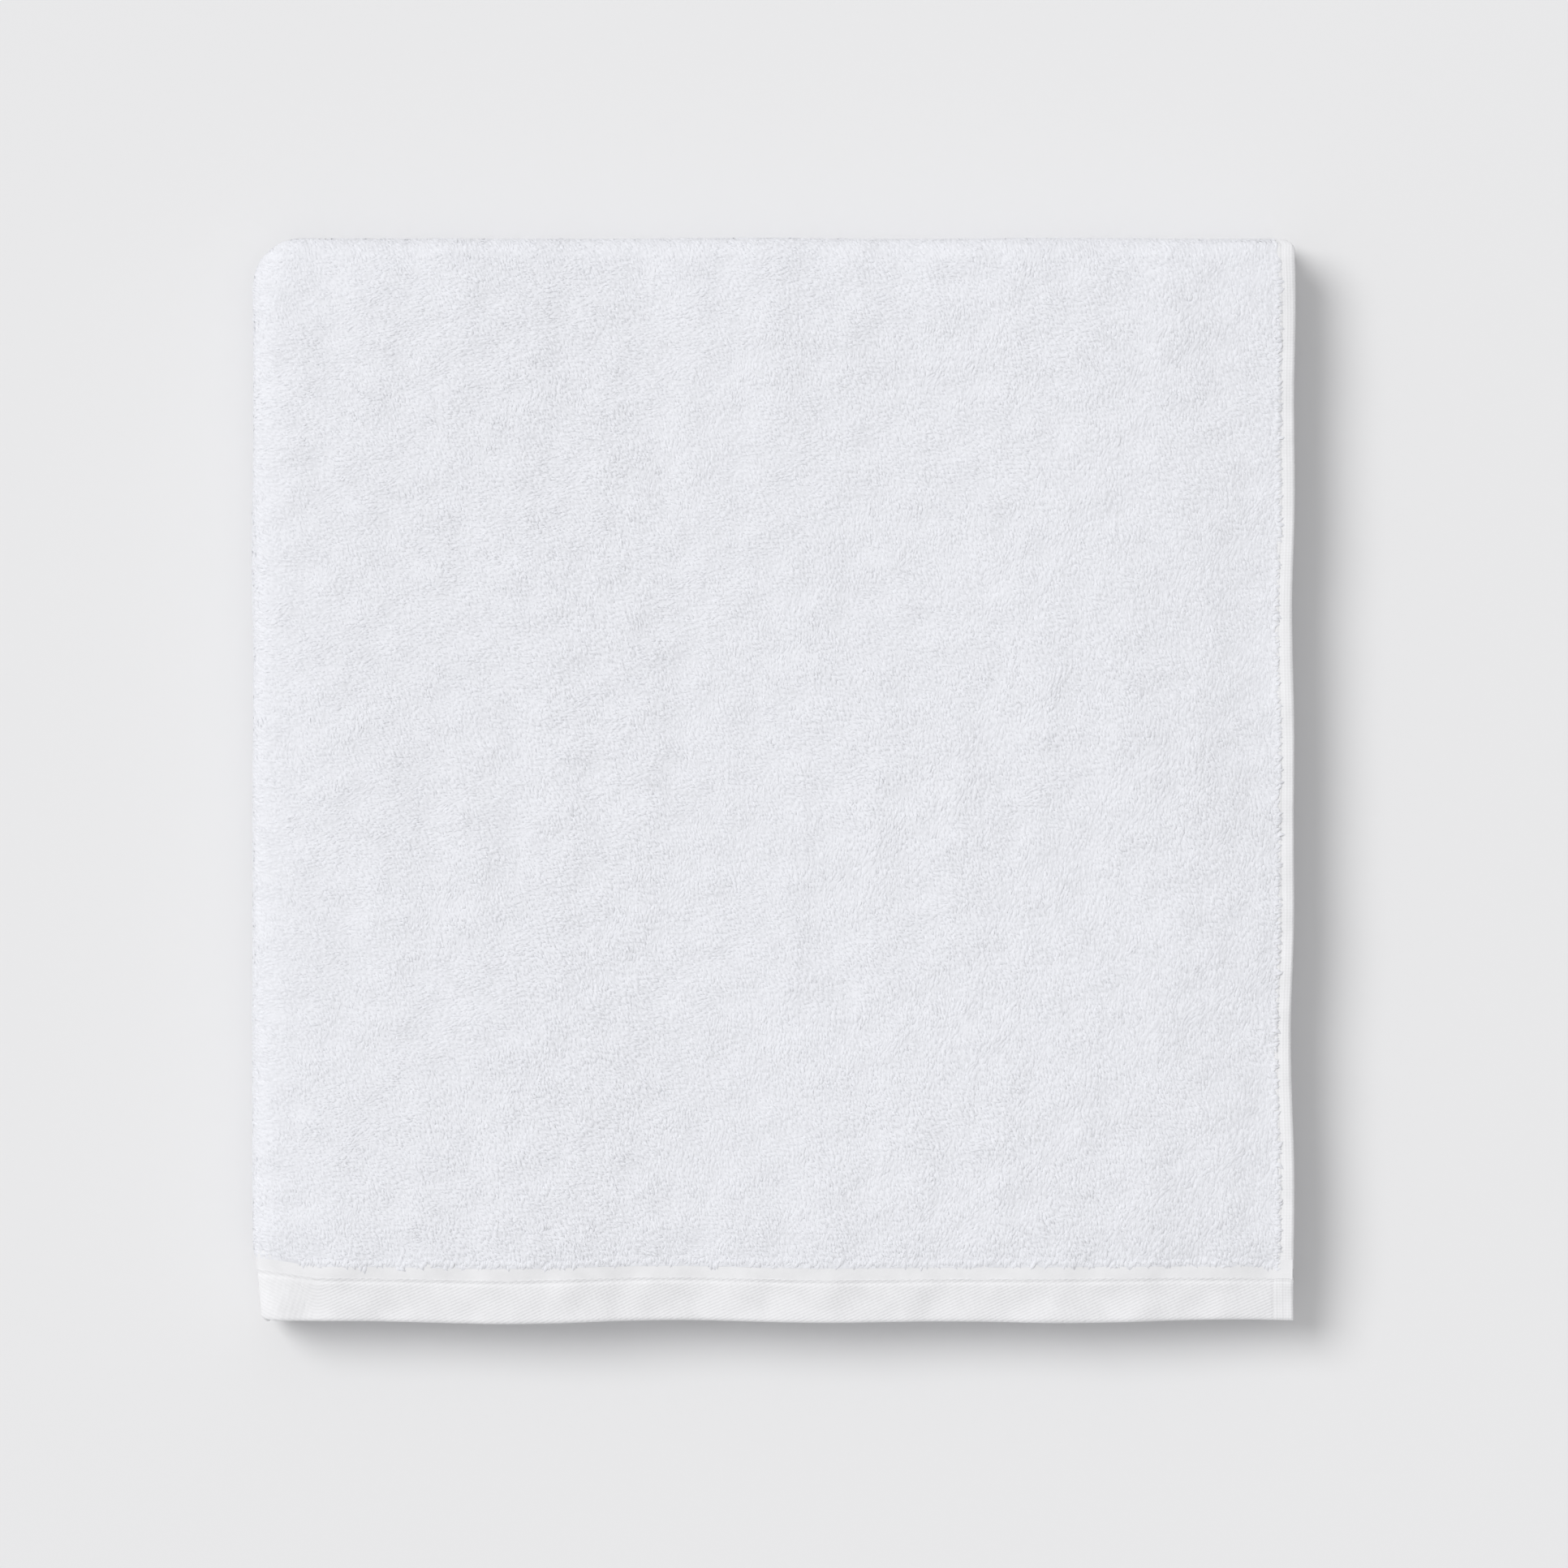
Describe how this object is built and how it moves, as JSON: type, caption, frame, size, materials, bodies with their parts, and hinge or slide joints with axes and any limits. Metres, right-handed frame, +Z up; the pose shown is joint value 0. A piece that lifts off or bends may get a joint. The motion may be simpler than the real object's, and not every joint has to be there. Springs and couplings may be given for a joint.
{
  "type": "folded bath towel",
  "caption": "White cotton terry bath towel, folded to a flat stack of eight plies, with flat woven end hems and sewn side hems.",
  "frame": {"origin": "centre of the underside of the folded stack, on the surface it lies on", "axes": "+Z up through the eight plies, +Y from the end hems to the quarter folds, +X from the last fold to the side hems"},
  "size_m": [0.3555, 0.37, 0.03],
  "materials": {
    "terry": "white cotton terry with uncut loop pile",
    "flat_weave": "white cotton flat weave, turned and sewn",
    "thread": "white polyester sewing thread",
    "ribbon": "blank white woven ribbon"
  },
  "bodies": {
    "lower_half": {"terry_lower_half": "terry", "outer_end_hem_lower": "flat_weave", "inner_end_hem_lower": "flat_weave", "outer_end_seam_lower": "thread", "inner_end_seam_lower": "thread", "side_hem_lower": "flat_weave", "side_seam_lower": "thread", "care_label": "ribbon", "terry_last_fold": "terry", "outer_end_hem_fold": "flat_weave", "inner_end_hem_fold": "flat_weave", "outer_end_seam_fold": "thread", "inner_end_seam_fold": "thread"},
    "upper_half": {"terry_upper_half": "terry", "outer_end_hem_upper": "flat_weave", "inner_end_hem_upper": "flat_weave", "outer_end_seam_upper": "thread", "inner_end_seam_upper": "thread", "side_hem_upper": "flat_weave", "side_seam_upper": "thread"}
  },
  "joints": [
    {"name": "last_fold", "type": "hinge", "parent": "lower_half", "child": "upper_half", "pos_m": [-0.16275, 0, 0.015], "axis": [0, -1, 0], "range_deg": [0, 179.9], "deforming": ["terry_last_fold", "outer_end_hem_fold", "inner_end_hem_fold", "outer_end_seam_fold", "inner_end_seam_fold"]}
  ]
}
